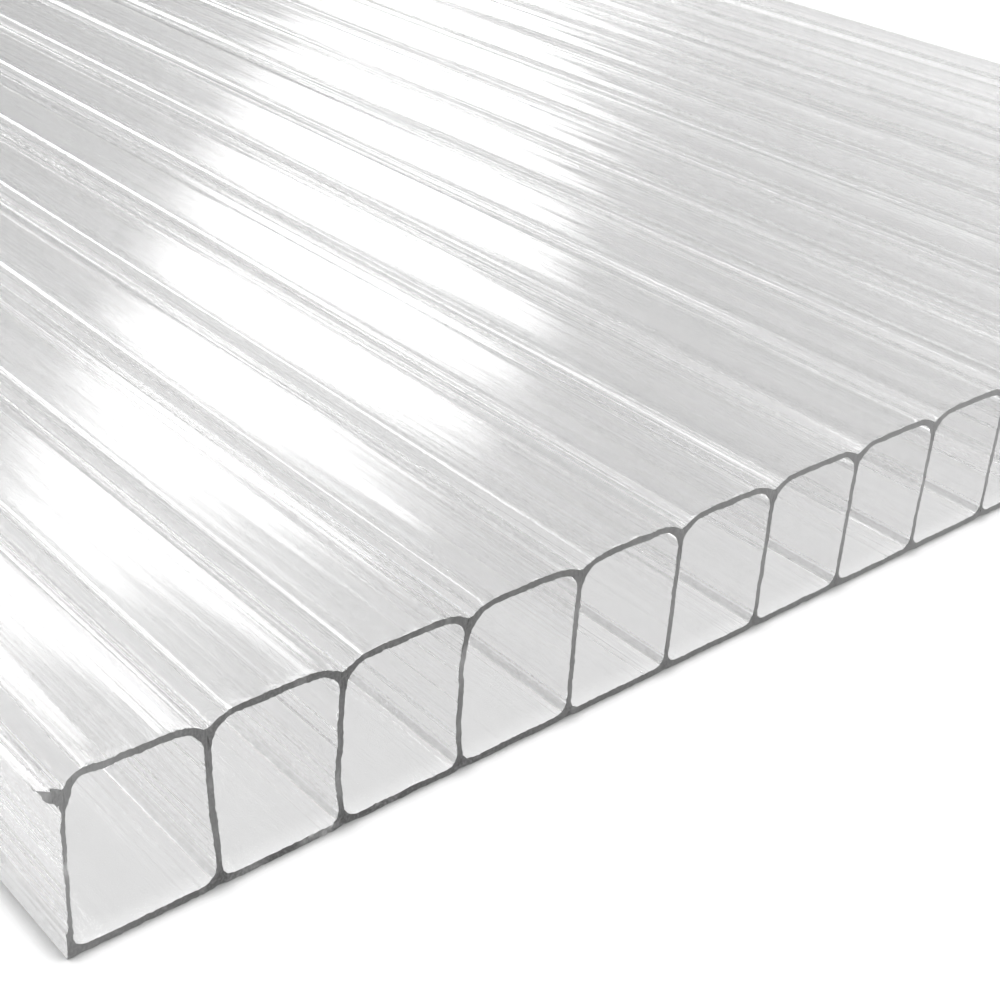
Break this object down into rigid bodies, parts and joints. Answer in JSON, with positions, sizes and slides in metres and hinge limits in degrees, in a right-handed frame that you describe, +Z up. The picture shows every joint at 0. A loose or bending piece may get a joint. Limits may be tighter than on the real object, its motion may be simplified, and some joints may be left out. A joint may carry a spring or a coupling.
{
  "type": "twin-wall polycarbonate sheet",
  "caption": "Clear extruded sheet with two thin skins joined by upright ribs that leave open flutes along its length, sawn square at both ends.",
  "frame": {"origin": "middle of the underside of the sheet's box", "axes": "+Y along the flutes, +Z up through the thickness, +X across the ribs away from the torn edge"},
  "size_m": [0.1364, 0.3, 0.01],
  "materials": {
    "clear_polycarbonate": "clear, glossy, with fine die lines along the flutes and sawn ends"
  },
  "bodies": {
    "root": {"twinwall_sheet": "clear_polycarbonate"}
  },
  "joints": []
}
